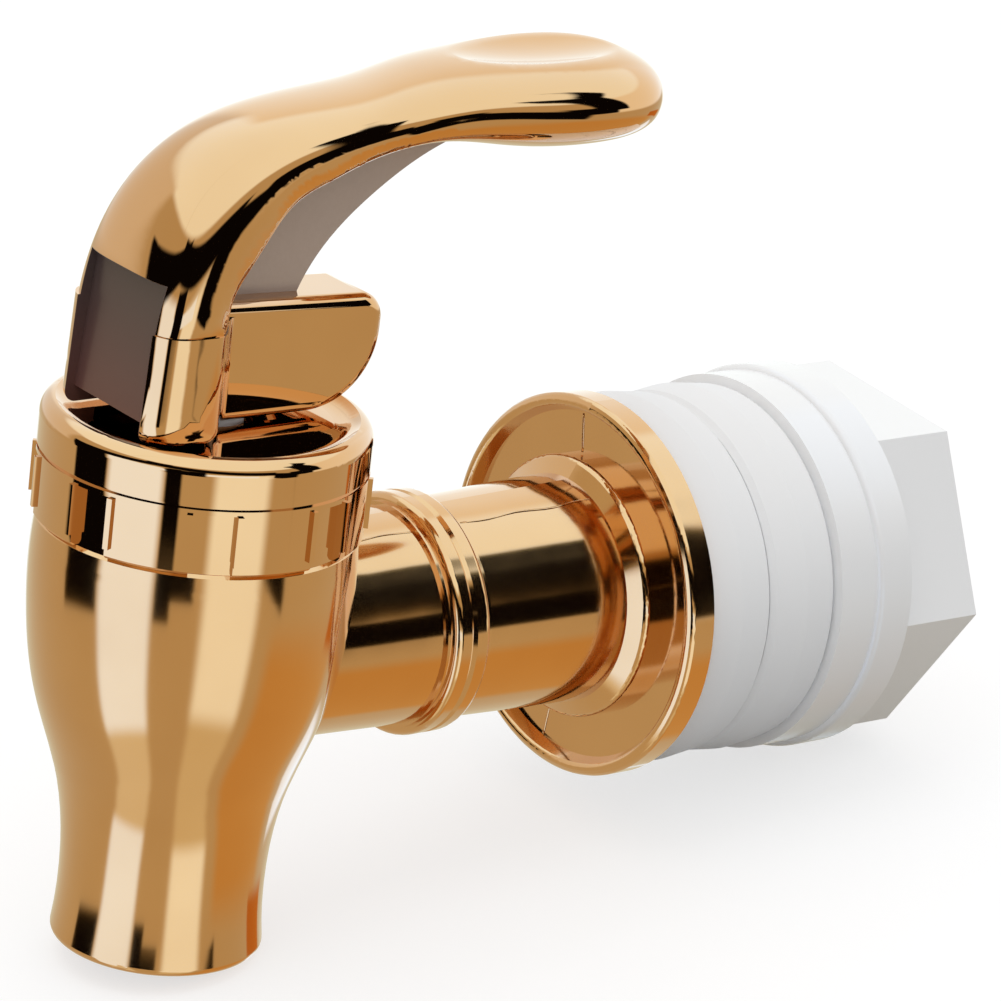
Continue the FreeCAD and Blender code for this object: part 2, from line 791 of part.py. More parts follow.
def side_prism(outline, half_width):
    """A prism across the lever from (x, z) corners in its side view."""
    points = [Vector(body_x + x, -half_width, z) for x, z in outline + outline[:1]]
    return Part.Face(Part.makePolygon(points)).extrude(Vector(0, 2 * half_width, 0))


def pocket_front():
    """The front end of the pocket for the stem's tang."""
    return -(tang_half_length + tang_head_clearance)


def tang_pocket():
    """The pocket that the stem's tang stands in, wide enough at its mouth for the lever to be pressed."""
    half = tang_half_width + tang_side_clearance
    head = tang_half_length + tang_head_clearance
    swing = math.radians(press_angle + press_margin)
    deep = pivot_height - cam_bottom + OVERRUN
    mouth = deep * math.tan(swing) + head / math.cos(swing)
    outline = [
        (-head, pivot_height - deep), (mouth, pivot_height - deep),
        (head * math.cos(swing), pivot_height + head * math.sin(swing)),
        (0, pivot_height), (-head, pivot_height),
    ]
    throat = side_prism(outline, half)
    dome = cylinder_y(head, half)
    sockets = cylinder_y(trunnion_radius + trunnion_clearance, trunnion_reach + trunnion_end_gap)
    return [throat, dome, sockets]


def lever():
    """The lever: cheeks, fin, web, arched arm and grip in one moulding."""
    whole = arm_shell().fuse([lever_base(), fin(), arm_web()])
    whole = whole.cut(panel_cut() + tang_pocket())
    return whole.removeSplitter()


def washer(start):
    """A thick soft washer with a faint crown round the middle of its rim."""
    end = start + washer_thickness
    rim = washer_radius
    edge = rim - washer_crown
    return turned_about_x([
        (start, shank_radius + washer_bore_clearance), (start, edge - washer_edge_round),
        (start + washer_edge_round, edge), (start + washer_thickness / 2, rim),
        (end - washer_edge_round, edge),
        (end, edge - washer_edge_round), (end, shank_radius + washer_bore_clearance),
    ])


def hex_nut():
    """The nut: a round skirt, a wider collar, and a hexagon to turn it by."""
    start = nut_start()
    collar = start + nut_skirt_length
    flats = collar + nut_collar_length
    skirt = cylinder_x(nut_skirt_radius, start, collar + OVERRUN)
    ring = cylinder_x(nut_collar_radius, collar, flats)
    ring = round_edges(ring, nut_edge_round, lambda e: is_circle_at(e, "x", collar, nut_collar_radius))
    corner = nut_hex_flat_radius / math.cos(math.radians(30))
    corners = []
    for i in range(7):
        turn = math.radians(nut_hex_turn + 60 * i)
        corners.append(Vector(flats - OVERRUN, corner * math.cos(turn), corner * math.sin(turn)))
    hexagon = Part.Face(Part.makePolygon(corners)).extrude(Vector(nut_hex_length + OVERRUN, 0, 0))
    bore = cylinder_x(shank_radius + nut_bore_clearance, start - OVERRUN, nut_end() + OVERRUN)
    return skirt.fuse([ring, hexagon]).removeSplitter().cut(bore)


def parts():
    """Every piece by the name of its node."""
    return {
        "faucet_body": faucet_body(),
        "bonnet_cap": bonnet_cap(),
        "bonnet_gasket": bonnet_gasket(),
        "stem_guide": stem_guide(),
        "stem_seal": stem_seal(),
        "plunger_stem": plunger_stem(),
        "seat_plug": seat_plug(),
        "thrust_washer": thrust_washer(),
        "return_spring": return_spring(),
        "lever": lever(),
        "outer_washer": washer(stack_gap),
        "inner_washer": washer(washer_thickness + 2 * stack_gap),
        "hex_nut": hex_nut(),
    }


def main():
    """Write one file for each piece."""
    os.makedirs("parts", exist_ok=True)
    for name, shape in parts().items():
        shape.exportStep(f"parts/{name}.step")
        print(name, len(shape.Solids), shape.isValid(), round(shape.Volume, 1))


main()
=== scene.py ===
"""Dresses the press-lever spigot in rose gold plate, soft rubber and milky plastic, in a light tent."""
import logging
import math
from abc import ABC, abstractmethod
from dataclasses import dataclass, field
from enum import Enum
from typing import Any, Sequence

import bmesh
import bpy
import numpy as np
from mathutils import Matrix, Vector
from mathutils.kdtree import KDTree


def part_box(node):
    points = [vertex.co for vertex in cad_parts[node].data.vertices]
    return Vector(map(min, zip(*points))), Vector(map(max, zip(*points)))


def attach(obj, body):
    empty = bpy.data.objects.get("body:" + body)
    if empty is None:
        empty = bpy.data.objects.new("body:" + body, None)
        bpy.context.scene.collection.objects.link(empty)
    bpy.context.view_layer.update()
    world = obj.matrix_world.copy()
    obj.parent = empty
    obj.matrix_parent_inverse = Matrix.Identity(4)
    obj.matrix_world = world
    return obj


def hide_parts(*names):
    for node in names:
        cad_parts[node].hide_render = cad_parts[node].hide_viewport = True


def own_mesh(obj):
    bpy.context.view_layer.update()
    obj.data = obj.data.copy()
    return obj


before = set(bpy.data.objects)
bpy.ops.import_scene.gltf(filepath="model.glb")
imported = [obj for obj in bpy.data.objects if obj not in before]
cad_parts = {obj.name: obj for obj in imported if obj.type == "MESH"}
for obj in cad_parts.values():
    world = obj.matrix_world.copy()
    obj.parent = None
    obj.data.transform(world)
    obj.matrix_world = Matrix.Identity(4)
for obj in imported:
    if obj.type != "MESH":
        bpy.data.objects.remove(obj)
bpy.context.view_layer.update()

LOG = logging.getLogger("spigot")
MM = 0.001
Point = tuple[float, float, float]
Colour = tuple[float, float, float, float]
WELD = 2e-6  # vertices nearer to each other than this many metres are one
EVEN_DEPTH: Point = (1.0, 1.0, 1.0)  # light of all colours goes equally deep


class Body(Enum):
    """The rigid bodies that the scene's own pieces ride on."""

    HOUSING = "housing"
    SWIVEL = "swivel"
    HANDLE = "handle"


class Slot(Enum):
    """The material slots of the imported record."""

    PLATE = "rose_gold_plate"
    SILICONE = "white_silicone"
    PLASTIC = "natural_plastic"
    STEEL = "spring_steel"


class Space(Enum):
    """What a pattern is laid out in."""

    OBJECT = "Object"
    DIRECTION = "Generated"
    FACING = "Normal"


def linear(red: int, green: int, blue: int) -> Colour:
    """Turns a colour as it shows on a screen into the linear one that a shader takes.

    Args:
        red: red from 0 to 255.
        green: green from 0 to 255.
        blue: blue from 0 to 255.

    Returns:
        The linear colour with an alpha of 1.
    """
    def channel(value: int) -> float:
        """One channel's linear share of full light."""
        share = value / 255
        return share / 12.92 if share <= 0.04045 else ((share + 0.055) / 1.055) ** 2.4

    return channel(red), channel(green), channel(blue), 1.0


class Signal:
    """A number carried by a socket. Python's operators on it add Math nodes."""

    def __init__(self, sheet: "NodeSheet", socket: bpy.types.NodeSocket) -> None:
        """Holds the socket and the sheet that new nodes go to."""
        self.sheet = sheet
        self.socket = socket

    def apply(self, operation: str, *terms: "Signal | float") -> "Signal":
        """Adds one Math node.

        Args:
            operation: the node's operation.
            terms: its inputs in order.

        Returns:
            The node's result.
        """
        made = self.sheet.node("ShaderNodeMath", {"operation": operation}, dict(enumerate(terms)))
        return Signal(self.sheet, made.outputs[0])

    def __add__(self, other: "Signal | float") -> "Signal":
        """self + other."""
        return self.apply("ADD", self, other)

    def __radd__(self, other: float) -> "Signal":
        """other + self."""
        return self.apply("ADD", other, self)

    def __sub__(self, other: "Signal | float") -> "Signal":
        """self - other."""
        return self.apply("SUBTRACT", self, other)

    def __rsub__(self, other: float) -> "Signal":
        """other - self."""
        return self.apply("SUBTRACT", other, self)

    def __mul__(self, other: "Signal | float") -> "Signal":
        """self * other."""
        return self.apply("MULTIPLY", self, other)

    def __rmul__(self, other: float) -> "Signal":
        """other * self."""
        return self.apply("MULTIPLY", other, self)

    def __abs__(self) -> "Signal":
        """The size of the number without its sign."""
        return self.apply("ABSOLUTE", self)

    def larger(self, other: "Signal") -> "Signal":
        """The larger of the two numbers."""
        return self.apply("MAXIMUM", self, other)

    def rise(self, low: float, high: float) -> "Signal":
        """Goes smoothly from 0 where the number is low to 1 where it is high.

        Args:
            low: the number that gives 0.
            high: the number that gives 1.

        Returns:
            The mask.
        """
        made = self.sheet.node(
            "ShaderNodeMapRange",
            {"interpolation_type": "SMOOTHSTEP"},
            {"Value": self, "From Min": low, "From Max": high},
        )
        return Signal(self.sheet, made.outputs[0])

    def within(self, half_width: float, softness: float) -> "Signal":
        """A mask that is 1 where the number lies nearer to 0 than half_width.

        Args:
            half_width: where the mask has fallen to a half.
            softness: how wide its edge is.

        Returns:
            The mask.
        """
        return 1.0 - abs(self).rise(half_width - softness / 2, half_width + softness / 2)


class NodeSheet:
    """One node tree, and the ways that nodes are added to it."""

    def __init__(self, tree: bpy.types.NodeTree) -> None:
        """Empties the tree and keeps it."""
        self.tree = tree
        tree.nodes.clear()

    def node(
        self,
        kind: str,
        settings: dict[str, Any] | None = None,
        values: dict[Any, Any] | None = None,
    ) -> bpy.types.Node:
        """Adds a node, sets its settings, then fills its sockets.

        Args:
            kind: the node's type.
            settings: its own settings, such as a Math node's operation.
            values: numbers, colours, Signals or sockets by the input's name or number.

        Returns:
            The node.
        """
        made = self.tree.nodes.new(kind)
        for name, value in (settings or {}).items():
            setattr(made, name, value)
        for name, value in (values or {}).items():
            if isinstance(value, Signal):
                self.tree.links.new(value.socket, made.inputs[name])
            elif isinstance(value, bpy.types.NodeSocket):
                self.tree.links.new(value, made.inputs[name])
            else:
                made.inputs[name].default_value = value
        return made

    def place(self, space: Space) -> bpy.types.NodeSocket:
        """The coordinates of the shaded point in one space."""
        return self.node("ShaderNodeTexCoord").outputs[space.value]

    def split(self, vector: bpy.types.NodeSocket) -> tuple[Signal, Signal, Signal]:
        """The three numbers of a vector."""
        made = self.node("ShaderNodeSeparateXYZ", values={0: vector})
        return Signal(self, made.outputs[0]), Signal(self, made.outputs[1]), Signal(self, made.outputs[2])

    def noise(self, where: bpy.types.NodeSocket, scale: float, detail: float = 2.0) -> Signal:
        """Smooth noise from 0 to 1.

        Args:
            where: the coordinates.
            scale: how many features there are in a metre.
            detail: how much finer noise is laid over it.

        Returns:
            The noise.
        """
        made = self.node("ShaderNodeTexNoise", values={"Vector": where, "Scale": scale, "Detail": detail})
        return Signal(self, made.outputs["Fac"])

    def blend(self, factor: Signal | float, first: Any, second: Any) -> bpy.types.NodeSocket:
        """Mixes two colours, which a Mix node has in its sockets 6 and 7 and gives in its third.

        Args:
            factor: 0 for the first, 1 for the second.
            first: a colour or a socket.
            second: a colour or a socket.

        Returns:
            The socket with the mixed colour.
        """
        made = self.node("ShaderNodeMix", {"data_type": "RGBA"}, {0: factor, 6: first, 7: second})
        return made.outputs[2]

    def bump(self, height: Signal, depth: float) -> bpy.types.NodeSocket:
        """Turns a height from 0 to 1 into a tilted normal.

        Args:
            height: the height.
            depth: how high 1 is, in metres.

        Returns:
            The socket with the normal.
        """
        made = self.node("ShaderNodeBump", values={"Strength": 1.0, "Distance": depth, "Height": height})
        return made.outputs[0]

    def principled(self, values: dict[str, Any]) -> bpy.types.NodeSocket:
        """A Principled shader with these inputs."""
        return self.node("ShaderNodeBsdfPrincipled", values=values).outputs[0]


class Finish(ABC):
    """A surface finish that makes its own material."""

    label: str
    slot: Slot

    def material(self) -> bpy.types.Material:
        """Makes the finish's material, the first time that it is asked for.

        Returns:
            The material.
        """
        known = bpy.data.materials.get(self.label)
        if known is not None:
            return known
        made = bpy.data.materials.new(self.label)
        made.use_nodes = True
        sheet = NodeSheet(made.node_tree)
        sheet.node("ShaderNodeOutputMaterial", values={"Surface": self.surface(sheet)})
        return made

    @abstractmethod
    def surface(self, sheet: NodeSheet) -> bpy.types.NodeSocket:
        """Builds the shader and returns its output."""

    def coat(self, piece: bpy.types.Object) -> None:
        """Gives a piece this finish in all its slots.

        Args:
            piece: the object.
        """
        slots = piece.data.materials
        if len(slots) == 0:
            slots.append(self.material())
        for index in range(len(slots)):
            slots[index] = self.material()


@dataclass(frozen=True)
class PlatingLayers:
    """What varies over the plating.

    Attributes:
        colour: the slightly uneven tone.
        roughness: the polish with its haze.
        normal: the moulding's slow waves, with haze and grain on them.
        grain: the finest noise, from 0 to 1.
    """

    colour: bpy.types.NodeSocket
    roughness: Signal
    normal: bpy.types.NodeSocket
    grain: Signal


@dataclass(frozen=True)
class RoseGoldPlate(Finish):
    """Bright copper-gold plating on moulded plastic.

    Attributes:
        label: the material's name.
        polish: the roughness of the plating.
        slot: the record's slot that it belongs to.
        waviness: how deep the moulding's slow waves are, in metres.
        tone: its colour.
        deep_tone: its colour in the deeper-toned clouds.
        cloud_scale: how many of those clouds there are in a metre.
        cloud_edge: the noise between which the two tones meet.
        wave_scale: how many slow waves there are in a metre.
        haze_scale: how many patches of haze there are in a metre.
        haze_spread: how much the haze changes the roughness.
        haze_relief: how much of a wave's depth the haze has.
        grain_scale: how many grains there are in a metre.
        grain_relief: how much of a wave's depth the grain has.
        lacquer: the roughness of the clear coat.
    """

    label: str
    polish: float
    slot: Slot = Slot.PLATE
    waviness: float = 0.00002
    tone: Colour = (0.68, 0.37, 0.14, 1.0)
    deep_tone: Colour = (0.65, 0.345, 0.125, 1.0)
    cloud_scale: float = 70.0
    cloud_edge: tuple[float, float] = (0.35, 0.65)
    wave_scale: float = 95.0
    haze_scale: float = 420.0
    haze_spread: float = 0.03
    haze_relief: float = 0.05
    grain_scale: float = 2600.0
    grain_relief: float = 0.004
    lacquer: float = 0.03

    def layers(self, sheet: NodeSheet, where: bpy.types.NodeSocket) -> PlatingLayers:
        """Lays the plating's noise.

        Args:
            sheet: where its nodes go.
            where: the coordinates.

        Returns:
            What the noise gives to the shader.
        """
        cloud = sheet.noise(where, self.cloud_scale, 3.0)
        haze = sheet.noise(where, self.haze_scale, 4.0)
        grain = sheet.noise(where, self.grain_scale, 2.0)
        waves = sheet.noise(where, self.wave_scale, 1.0)
        height = waves + haze * self.haze_relief + grain * self.grain_relief
        return PlatingLayers(
            colour=sheet.blend(cloud.rise(*self.cloud_edge), self.tone, self.deep_tone),
            roughness=haze * self.haze_spread + (self.polish - self.haze_spread / 2),
            normal=sheet.bump(height, self.waviness),
            grain=grain,
        )

    def surface(self, sheet: NodeSheet) -> bpy.types.NodeSocket:
        """Builds the plating: a metal with a slightly uneven tone, haze and moulding waves.

        Args:
            sheet: where its nodes go.

        Returns:
            The shader's output.
        """
        layers = self.layers(sheet, sheet.place(Space.OBJECT))
        return sheet.principled({
            "Base Color": layers.colour,
            "Metallic": 1.0,
            "Roughness": layers.roughness,
            "Normal": layers.normal,
            "Coat Weight": 1.0,
            "Coat Roughness": self.lacquer,
        })


@dataclass(frozen=True)
class LeverPlate(RoseGoldPlate):
    """The lever's plating, with the duller sunk front panel painted dark with shade, and the satin web.

    Attributes:
        panel_half_width: half the sunk panel's width, in metres.
        panel_top: how high the panel reaches.
        panel_back: how far back the panel's face lies.
        painted_shade_fade: the heights between which the panel's tone changes.
        painted_shade_foot_tone: the panel's tone at its foot.
        painted_shade_top_tone: its tone at its top.
        web_half_width: half the web's thickness.
        web_facing: how squarely the web's sides look along Y, where its mask rises.
        web_tone: the web's tone.
        web_grain_tone: its tone on the grain.
        border: how soft the border of the dull places is.
        back_border: how soft it is towards the back.
        dull_roughness: how much rougher the dull places are.
        dull_metal: how much less metallic they are.
        dull_coat: how much less clear coat they have.
    """

    panel_half_width: float = 0.00545
    panel_top: float = 0.03372
    panel_back: float = -0.0505
    # painted_shade_fade: the heights between which the panel's painted shade changes.         painted_shade_foot_tone: the panel's painted shade at its foot, redder and lighter, tinted brown as a painted reflection of the plated cheeks.         painted_shade_top_tone: the panel's painted shade at its top, darker.
    painted_shade_fade: tuple[float, float] = (0.0205, 0.0335)
    painted_shade_foot_tone: Colour = (0.17, 0.075, 0.06, 1.0)
    painted_shade_top_tone: Colour = (0.105, 0.07, 0.06, 1.0)
    web_half_width: float = 0.0014
    web_facing: tuple[float, float] = (0.9, 0.95)
    web_tone: Colour = (0.52, 0.42, 0.37, 1.0)
    web_grain_tone: Colour = (0.48, 0.38, 0.33, 1.0)
    border: float = 0.00004
    back_border: float = 0.00005
    dull_roughness: float = 0.3
    dull_metal: float = 0.75
    dull_coat: float = 0.9

    def surface(self, sheet: NodeSheet) -> bpy.types.NodeSocket:
        """Builds the plating and lays over it the dull panel, painted with shade, and the web.

        Args:
            sheet: where its nodes go.

        Returns:
            The shader's output.
        """
        where = sheet.place(Space.OBJECT)
        x, y, z = sheet.split(where)
        sideways = sheet.split(sheet.place(Space.FACING))[1]
        panel = abs(y).within(self.panel_half_width, self.border)
        panel = panel * (1.0 - x.rise(self.panel_back, self.panel_back + self.back_border))
        panel = panel * (1.0 - z.rise(self.panel_top, self.panel_top + self.border))
        web = abs(y).within(self.web_half_width, self.border) * abs(sideways).rise(*self.web_facing)
        dull = web.larger(panel)
        layers = self.layers(sheet, where)
        # the sunk panel's colour is painted shade, tinted brown as a painted reflection of the plated
        # cheeks, darker towards its top
        painted_shade_colour = sheet.blend(z.rise(*self.painted_shade_fade), self.painted_shade_foot_tone, self.painted_shade_top_tone)
        web_colour = sheet.blend(layers.grain, self.web_tone, self.web_grain_tone)
        colour = sheet.blend(web, sheet.blend(panel, layers.colour, painted_shade_colour), web_colour)
        roughness = layers.roughness + panel * self.dull_roughness + web * self.dull_roughness
        return sheet.principled({
            "Base Color": colour,
            "Metallic": 1.0 - dull * self.dull_metal,
            "Roughness": roughness,
            "Normal": layers.normal,
            "Coat Weight": 1.0 - dull * self.dull_coat,
            "Coat Roughness": self.lacquer,
        })


@dataclass(frozen=True)
class MilkyMoulding(Finish):
    """A pale moulded polymer that lets some light through.

    Attributes:
        label: the material's name.
        slot: the record's slot that it belongs to.
        tone: its colour.
        cloudy_tone: its colour where it is cloudier.
        cloud_scale: how many clouds there are in a metre.
        cloud_detail: how much finer noise lies over them.
        cloud_relief: how much of the relief they have.
        skin_scale: how many dimples its skin has in a metre.
        skin_detail: how much finer noise lies over them.
        skin_relief: how much of the relief they have.
        relief: how deep the relief is, in metres.
        gloss: the skin's lowest roughness.
        gloss_spread: how much rougher the dimples make it.
        milkiness: how much of the light goes in.
        light_depth: how deep that light goes, in metres.
        refraction: its index of refraction.
    """

    label: str
    slot: Slot
    tone: Colour
    cloudy_tone: Colour
    cloud_scale: float
    cloud_detail: float
    cloud_relief: float
    skin_scale: float
    skin_detail: float
    skin_relief: float
    relief: float
    gloss: float
    gloss_spread: float
    milkiness: float
    light_depth: float
    refraction: float

    def surface(self, sheet: NodeSheet) -> bpy.types.NodeSocket:
        """Builds the polymer: a cloudy body and a satin skin with a faint moulded texture.

        Args:
            sheet: where its nodes go.

        Returns:
            The shader's output.
        """
        where = sheet.place(Space.OBJECT)
        cloud = sheet.noise(where, self.cloud_scale, self.cloud_detail)
        skin = sheet.noise(where, self.skin_scale, self.skin_detail)
        height = cloud * self.cloud_relief + skin * self.skin_relief
        return sheet.principled({
            "Base Color": sheet.blend(cloud, self.tone, self.cloudy_tone),
            "Roughness": skin * self.gloss_spread + self.gloss,
            "Subsurface Weight": self.milkiness,
            "Subsurface Radius": EVEN_DEPTH,
            "Subsurface Scale": self.light_depth,
            "IOR": self.refraction,
            "Normal": sheet.bump(height, self.relief),
        })


@dataclass(frozen=True)
class SoftSilicone(MilkyMoulding):
    """White silicone rubber, cloudy inside and even outside."""

    label: str = "white_silicone"
    slot: Slot = Slot.SILICONE
    tone: Colour = linear(224, 221, 220)
    cloudy_tone: Colour = linear(214, 211, 210)
    cloud_scale: float = 120.0
    cloud_detail: float = 3.0
    cloud_relief: float = 0.0
    skin_scale: float = 1800.0
    skin_detail: float = 3.0
    skin_relief: float = 1.0
    relief: float = 0.00001
    gloss: float = 0.36
    gloss_spread: float = 0.12
    milkiness: float = 0.6
    light_depth: float = 0.004
    refraction: float = 1.41


@dataclass(frozen=True)
class NaturalPlastic(MilkyMoulding):
    """Undyed polypropylene: milky, with faint flow marks as its clouds and a low gloss."""

    label: str = "natural_plastic"
    slot: Slot = Slot.PLASTIC
    tone: Colour = linear(238, 238, 240)
    cloudy_tone: Colour = linear(228, 229, 232)
    cloud_scale: float = 160.0
    cloud_detail: float = 4.0
    cloud_relief: float = 0.6
    skin_scale: float = 2400.0
    skin_detail: float = 2.0
    skin_relief: float = 0.2
    relief: float = 0.00002
    gloss: float = 0.24
    gloss_spread: float = 0.1
    milkiness: float = 0.7
    light_depth: float = 0.006
    refraction: float = 1.49


@dataclass(frozen=True)
class SpringSteel(Finish):
    """Drawn stainless wire.

    Attributes:
        label: the material's name.
        slot: the record's slot that it belongs to.
        tone: its colour.
        stained_tone: its colour where it is stained.
        stain_scale: how many stains there are in a metre.
        mark_scale: how many drawing marks there are in a metre.
        mark_depth: how deep they are, in metres.
        gloss: the lowest roughness.
        gloss_spread: how much rougher the marks make it.
    """

    label: str = "spring_steel"
    slot: Slot = Slot.STEEL
    tone: Colour = linear(205, 205, 208)
    stained_tone: Colour = linear(170, 168, 165)
    stain_scale: float = 200.0
    mark_scale: float = 1500.0
    mark_depth: float = 0.000004
    gloss: float = 0.2
    gloss_spread: float = 0.15

    def surface(self, sheet: NodeSheet) -> bpy.types.NodeSocket:
        """Builds the wire: a grey metal with drawing marks and a little staining.

        Args:
            sheet: where its nodes go.

        Returns:
            The shader's output.
        """
        where = sheet.place(Space.OBJECT)
        marks = sheet.noise(where, self.mark_scale, 4.0)
        stain = sheet.noise(where, self.stain_scale, 2.0)
        return sheet.principled({
            "Base Color": sheet.blend(stain, self.tone, self.stained_tone),
            "Metallic": 1.0,
            "Roughness": marks * self.gloss_spread + self.gloss,
            "Normal": sheet.bump(marks, self.mark_depth),
        })


@dataclass(frozen=True)
class LightPanel:
    """A soft-edged patch of the light tent, laid out by compass angle and height, in degrees.

    Attributes:
        azimuth: the compass angle of its middle, from +X towards +Y.
        height: the height of its middle over the horizon.
        half_width: half its width.
        half_height: half its height.
        softness: how wide its edges fade.
        light: its linear colour, above 1 on a soft box and near 0 on a black flag.
        slope: how much its middle climbs for each degree of azimuth.
    """

    azimuth: float
    height: float
    half_width: float
    half_height: float
    softness: float
    light: Point
    slope: float = 0.0

    def mask(self, azimuth: Signal, height: Signal) -> Signal:
        """1 inside the patch and 0 outside it.

        Args:
            azimuth: the compass angle of the direction.
            height: the height of the direction.

        Returns:
            The mask.
        """
        turned = azimuth - self.azimuth
        wrapped = turned.apply("WRAP", turned, 180.0, -180.0)
        across = wrapped.within(self.half_width, self.softness)
        climbed = height - self.height
        if self.slope:
            climbed = climbed - wrapped * self.slope
        return across * climbed.within(self.half_height, self.softness)


BLACK: Point = (0.004, 0.003, 0.003)  # a flag of black velvet
CREAM: Point = (1.25, 1.56, 1.9)  # a soft box behind warm cloth
BOX: Point = (1.25, 1.75, 2.8)  # a bare soft box


@dataclass
class Studio:
    """The camera, the light tent and the pale floor.

    Attributes:
        eye: where the camera stands, in millimetres.
        right: the camera's right.
        up: the camera's up.
        back: the way from the view to the camera.
        focal_px: the focal length in pixels of the photograph's frame.
        frame_px: the side of the square frame.
        sensor_mm: the sensor's width.
        clip: the nearest and the farthest that the camera sees, in metres.
        cloth: the tent's warm cloth, seen in the plating wherever no panel hangs.
        plain_level: the tent's light on surfaces that don't mirror it.
        panels: what hangs in the tent, painted over each other in order.
        foot_edge_x: where the foot's edge touches the floor, in millimetres.
        floor_half: half the floor's side, in metres.
        floor_tone: the floor's grey.
        floor_glow: what the floor adds of its own for the eye alone.
        lamp_place: where the lamp hangs, in metres.
        lamp_size: its two sides.
        lamp_power: its power in watts.
    """

    eye: Point = (-284.69, -332.09, 158.15)
    right: Point = (0.79143, -0.60060, 0.11366)
    up: Point = (0.11396, 0.32766, 0.93790)
    back: Point = (-0.60054, -0.72933, 0.32776)
    focal_px: float = 5308.8
    frame_px: float = 1001.0
    sensor_mm: float = 36.0
    clip: tuple[float, float] = (0.01, 20.0)
    cloth: Colour = (0.66, 0.58, 0.40, 1.0)
    plain_level: float = 0.82
    panels: tuple[LightPanel, ...] = (
        # the table and its sheets, below the horizon
        LightPanel(-30.0, -50.0, 34.0, 26.0, 12.0, (0.72, 0.46, 0.17)),
        LightPanel(-172.0, -54.0, 20.0, 16.0, 8.0, (0.95, 1.0, 0.9)),
        LightPanel(-97.0, -54.0, 19.0, 16.0, 8.0, (0.86, 0.85, 0.66)),
        # the tent's roof
        LightPanel(0.0, 62.0, 181.0, 30.0, 5.0, CREAM),
        # soft boxes all round
        LightPanel(95.0, 14.0, 36.0, 20.0, 8.0, (0.9, 0.9, 0.85)),
        LightPanel(48.0, 14.0, 20.0, 34.0, 8.0, (1.12, 1.18, 1.15)),
        LightPanel(-10.0, 15.0, 42.0, 20.0, 6.0, (1.15, 1.25, 1.3)),
        LightPanel(-172.0, -21.0, 20.0, 26.0, 6.0, BOX),
        LightPanel(-97.0, -21.0, 19.0, 21.0, 8.0, CREAM),
        LightPanel(-122.0, -4.0, 34.0, 3.5, 2.0, BOX),
        LightPanel(27.0, -33.0, 14.0, 4.0, 3.0, (1.1, 1.3, 1.5)),
        # black flags
        LightPanel(-136.0, -3.0, 13.0, 12.0, 3.0, BLACK),
        LightPanel(-144.5, -8.0, 5.5, 13.0, 2.5, BLACK),
        LightPanel(178.0, 12.6, 34.0, 8.5, 3.0, BLACK, 0.3),
        LightPanel(-120.0, 16.4, 46.0, 9.0, 3.0, BLACK, -0.12),
        LightPanel(-68.0, -1.0, 9.0, 13.0, 3.0, BLACK, -0.5),
        LightPanel(151.5, -5.5, 14.5, 16.5, 2.5, BLACK),
        LightPanel(-48.5, 24.0, 8.5, 21.0, 2.5, BLACK),
        LightPanel(-56.0, 5.0, 9.0, 10.0, 2.5, BLACK),
        LightPanel(-38.0, 46.5, 9.0, 5.0, 3.0, BLACK, 0.6),
        # a low orange card
        LightPanel(6.0, -21.0, 14.0, 3.5, 2.0, (0.6, 0.2, 0.03)),
    )
    foot_edge_x: float = -34.5
    floor_half: float = 1.5
    floor_tone: float = 0.38
    floor_glow: float = 0.66
    lamp_place: Point = (-0.12, 0.05, 0.6)
    lamp_size: tuple[float, float] = (0.6, 0.5)
    lamp_power: float = 0.9

    def camera(self) -> None:
        """Places the camera where the photograph was taken from."""
        lens = bpy.data.cameras.new("photo_camera")
        lens.sensor_width = self.sensor_mm
        lens.sensor_fit = "HORIZONTAL"
        lens.lens = self.focal_px / self.frame_px * self.sensor_mm
        lens.clip_start, lens.clip_end = self.clip
        camera = bpy.data.objects.new("photo_camera", lens)
        axes = Matrix((self.right, self.up, self.back)).transposed()
        camera.matrix_world = Matrix.Translation(Vector(self.eye) * MM) @ axes.to_4x4()
        bpy.context.scene.collection.objects.link(camera)
        bpy.context.scene.camera = camera
        bpy.context.scene.view_settings.view_transform = "Standard"

    def tent(self) -> None:
        """Builds the light tent: white to the eye, with soft boxes and dark flags in the reflections."""
        world = bpy.data.worlds.new("light_tent")
        world.use_nodes = True
        bpy.context.scene.world = world
        sheet = NodeSheet(world.node_tree)
        x, y, z = sheet.split(sheet.place(Space.DIRECTION))
        per_radian = math.degrees(1.0)
        azimuth = x.apply("ARCTAN2", y, x) * per_radian
        height = z.apply("ARCSINE", z) * per_radian
        mirrored: Any = self.cloth
        for panel in self.panels:
            mirrored = sheet.blend(panel.mask(azimuth, height), mirrored, (*panel.light, 1.0))
        path = sheet.node("ShaderNodeLightPath")
        seen = Signal(sheet, path.outputs["Is Camera Ray"])
        through = Signal(sheet, path.outputs["Is Transmission Ray"])
        glossy = Signal(sheet, path.outputs["Is Glossy Ray"])
        plain = (self.plain_level, self.plain_level, self.plain_level, 1.0)
        light = sheet.blend(glossy, plain, mirrored)
        colour = sheet.blend(seen.larger(through), light, (1.0, 1.0, 1.0, 1.0))
        shine = sheet.node("ShaderNodeBackground", values={"Color": colour, "Strength": 1.0})
        sheet.node("ShaderNodeOutputWorld", values={"Surface": shine.outputs[0]})
        world.cycles.sampling_method = "NONE"

